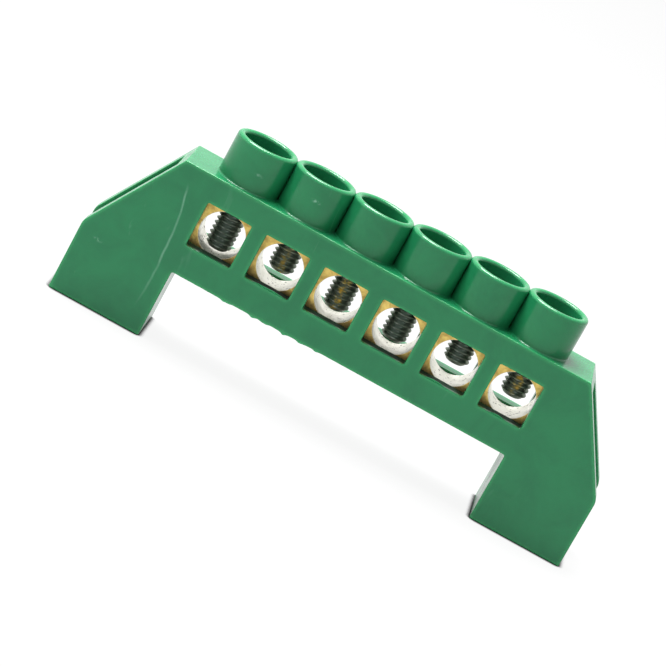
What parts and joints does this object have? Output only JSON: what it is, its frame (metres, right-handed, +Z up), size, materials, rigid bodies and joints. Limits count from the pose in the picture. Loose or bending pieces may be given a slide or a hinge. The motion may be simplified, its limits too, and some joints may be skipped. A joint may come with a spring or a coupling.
{
  "type": "earth terminal bar",
  "caption": "Bridge-shaped green insulated earth bar: a drilled brass bar in a moulded housing with clamp screws in round wells above square wire windows.",
  "frame": {"origin": "under the middle of the bridge, on the plane its feet stand on", "axes": "+X along the bar, +Y towards the back, +Z up towards the screw wells"},
  "size_m": [0.0794, 0.011, 0.0311],
  "materials": {
    "green_nylon": "satin moulded",
    "brass": "drawn, slightly grained",
    "plated_steel": "zinc plated"
  },
  "bodies": {
    "bar_in_housing": {"housing": "green_nylon", "brass_bar": "brass"},
    "screw_1": {"clamp_screw_1": "plated_steel"},
    "screw_2": {"clamp_screw_2": "plated_steel"},
    "screw_3": {"clamp_screw_3": "plated_steel"},
    "screw_4": {"clamp_screw_4": "plated_steel"},
    "screw_5": {"clamp_screw_5": "plated_steel"},
    "screw_6": {"clamp_screw_6": "plated_steel"}
  },
  "joints": [
    {"name": "screw_travel_1", "type": "slide", "parent": "bar_in_housing", "child": "screw_1", "axis": [0, 0, 1], "range_m": [-0.00005, 0.0054]},
    {"name": "screw_travel_2", "type": "slide", "parent": "bar_in_housing", "child": "screw_2", "axis": [0, 0, 1], "range_m": [-0.00155, 0.0039]},
    {"name": "screw_travel_3", "type": "slide", "parent": "bar_in_housing", "child": "screw_3", "axis": [0, 0, 1], "range_m": [-0.00065, 0.0048]},
    {"name": "screw_travel_4", "type": "slide", "parent": "bar_in_housing", "child": "screw_4", "axis": [0, 0, 1], "range_m": [-0.00075, 0.0047]},
    {"name": "screw_travel_5", "type": "slide", "parent": "bar_in_housing", "child": "screw_5", "axis": [0, 0, 1], "range_m": [-0.00215, 0.0033]},
    {"name": "screw_travel_6", "type": "slide", "parent": "bar_in_housing", "child": "screw_6", "axis": [0, 0, 1], "range_m": [-0.00195, 0.0035]}
  ]
}
